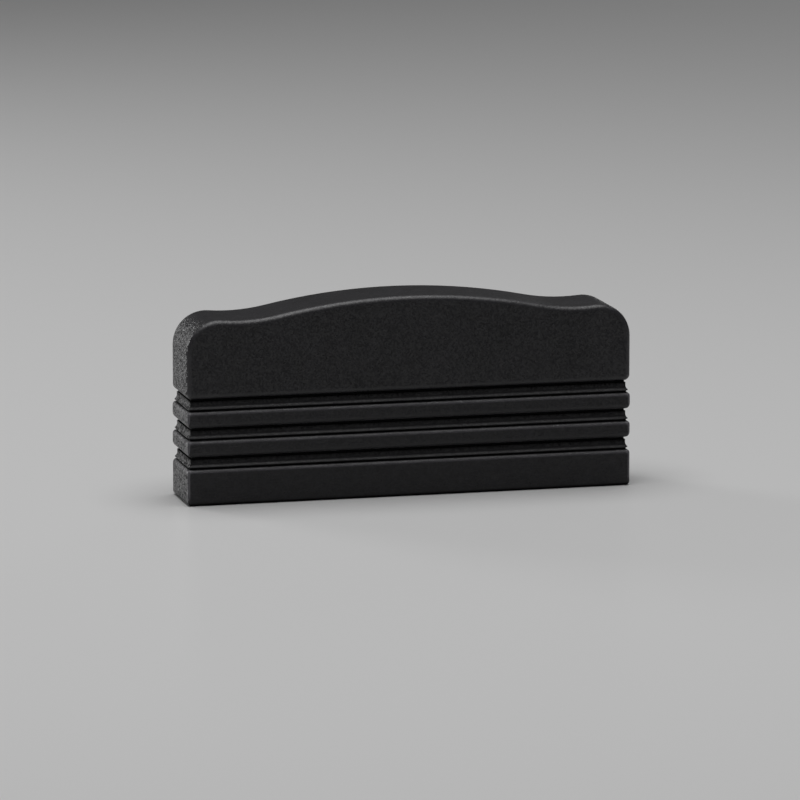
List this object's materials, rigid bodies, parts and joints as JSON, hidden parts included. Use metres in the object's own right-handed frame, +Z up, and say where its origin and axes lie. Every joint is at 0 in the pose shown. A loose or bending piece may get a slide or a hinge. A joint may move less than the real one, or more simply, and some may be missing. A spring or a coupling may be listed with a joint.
{
  "type": "chalkboard eraser",
  "caption": "Hand-held chalkboard eraser with an arched hollow grip over a stack of felt wiping layers, parted by peel grooves that run all the way round.",
  "frame": {"origin": "middle of the wiping face, on the surface that the eraser stands on", "axes": "+X along the length, +Y through the thin depth from front to rear, +Z up from the wiping face to the arch"},
  "size_m": [0.127, 0.02, 0.0564],
  "materials": {
    "grip": "fine moulded grain, matte black",
    "base_plate": "plain matte black",
    "carriers": "fine moulded grain, matte black",
    "screws": "zinc plated",
    "adhesive": "black adhesive foam tape",
    "felt": "dense pressed black felt"
  },
  "bodies": {
    "root": {"grip_shell": "grip", "base_plate": "base_plate", "screw_left": "screws", "screw_centre": "screws", "screw_right": "screws", "peel_strip_upper": "adhesive", "peel_strip_middle": "adhesive", "peel_strip_lower": "adhesive", "carrier_upper": "carriers", "carrier_middle": "carriers", "carrier_lower": "carriers", "felt_tape_upper": "adhesive", "felt_tape_middle": "adhesive", "felt_tape_lower": "adhesive", "felt_layer_upper": "felt", "felt_layer_middle": "felt", "wiping_pad": "felt"}
  },
  "joints": []
}
